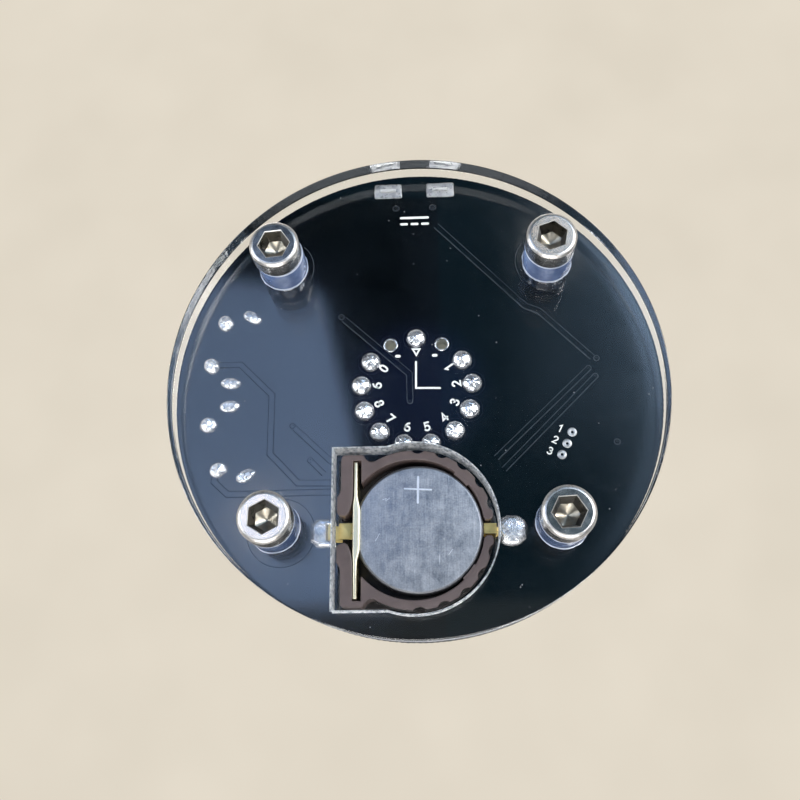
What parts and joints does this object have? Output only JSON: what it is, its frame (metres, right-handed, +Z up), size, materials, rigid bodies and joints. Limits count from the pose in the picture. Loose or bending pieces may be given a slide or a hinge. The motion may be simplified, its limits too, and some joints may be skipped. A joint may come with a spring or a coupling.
{
  "type": "nixie tube clock",
  "caption": "Round desk clock with a glass numeral tube between clear discs, circuit board, coin cell below, side push buttons, standing on cap screw heads.",
  "frame": {"origin": "on the axis of the discs and the tube, on the surface that the screw heads stand on", "axes": "+Z up along the tube, -Y the side that the numerals face, +Y the power socket, +X the push buttons"},
  "size_m": [0.05, 0.05, 0.0626],
  "materials": {
    "clear_acrylic": "clear polished cast acrylic, laser-cut edge",
    "screw_steel": "plain steel, satin",
    "clear_nylon": "translucent nylon",
    "dark_nylon": "nylon, satin",
    "board_black": "black solder mask, glossy",
    "brass": "turned brass",
    "bulb_glass": "clear drawn glass",
    "seat_plastic": "white plastic",
    "lead_wire": "tinned wire",
    "cathode_nickel": "etched nickel",
    "mesh_nickel": "fine etched mesh",
    "shield_nickel": "grey oxidised sheet",
    "mica": "mica sheet",
    "ceramic": "white ceramic",
    "getter_metal": "flashed metal ring",
    "holder_plastic": "brown moulded plastic",
    "gold_contact": "gold-plated spring strip",
    "cell_steel": "brushed nickel-plated steel",
    "gasket_plastic": "moulded seal",
    "socket_steel": "tin-plated sheet",
    "black_plastic": "moulded black plastic",
    "button_plastic": "moulded black plastic, satin",
    "solder": "bright solder",
    "chip_epoxy": "moulded epoxy with tinned leads",
    "ferrite": "ferrite",
    "capacitor_sleeve": "shrink sleeve",
    "resistor_ceramic": "glazed chip with tinned ends",
    "capacitor_ceramic": "ceramic chip with tinned ends",
    "crystal_metal": "nickel lid"
  },
  "bodies": {
    "clock": {"base_plate": "clear_acrylic", "cap_screws": "screw_steel", "foot_spacers": "clear_nylon", "board_spacers": "dark_nylon", "circuit_board": "board_black", "standoffs": "brass", "top_plate": "clear_acrylic", "top_screws": "screw_steel", "tube_envelope": "bulb_glass", "tube_stem": "bulb_glass", "tube_seat": "seat_plastic", "tube_leads": "lead_wire", "digit_0": "cathode_nickel", "digit_1": "cathode_nickel", "digit_2": "cathode_nickel", "digit_3": "cathode_nickel", "digit_4": "cathode_nickel", "digit_5": "cathode_nickel", "digit_6": "cathode_nickel", "digit_7": "cathode_nickel", "digit_8": "cathode_nickel", "digit_9": "cathode_nickel", "decimal_points": "cathode_nickel", "anode_mesh": "mesh_nickel", "rear_shield": "shield_nickel", "lower_insulator": "mica", "upper_insulator": "mica", "support_rods": "lead_wire", "cathode_spacers": "ceramic", "getter": "getter_metal", "battery_holder": "holder_plastic", "battery_spring": "gold_contact", "battery_contact": "gold_contact", "usb_shell": "socket_steel", "usb_insulator": "black_plastic", "usb_contacts": "gold_contact", "switch_1_body": "black_plastic", "switch_1_bracket": "socket_steel", "switch_2_body": "black_plastic", "switch_2_bracket": "socket_steel", "switch_terminals": "lead_wire", "switch_domes": "cathode_nickel", "pin_solder": "solder", "tab_solder": "solder", "microcontroller": "chip_epoxy", "cathode_driver": "chip_epoxy", "clock_chip": "chip_epoxy", "crystal": "crystal_metal", "boost_inductor": "ferrite", "boost_switch": "chip_epoxy", "boost_diode": "chip_epoxy", "reservoir_capacitor": "capacitor_sleeve", "chip_resistors": "resistor_ceramic", "chip_capacitors": "capacitor_ceramic"},
    "button_1": {"switch_1_button": "button_plastic"},
    "button_2": {"switch_2_button": "button_plastic"},
    "coin_cell": {"cell_can": "cell_steel", "cell_gasket": "gasket_plastic", "cell_cap": "cell_steel"}
  },
  "joints": [
    {"name": "button_1_press", "type": "slide", "parent": "clock", "child": "button_1", "axis": [-0.9659, -0.2588, 0], "range_m": [0, 0.00025], "stiffness_N_per_m": 2000},
    {"name": "button_2_press", "type": "slide", "parent": "clock", "child": "button_2", "axis": [-0.9659, 0.2588, 0], "range_m": [0, 0.00025], "stiffness_N_per_m": 2000},
    {"name": "coin_cell_removal", "type": "slide", "parent": "clock", "child": "coin_cell", "axis": [0, 0, -1], "range_m": [0, 0.005]}
  ]
}
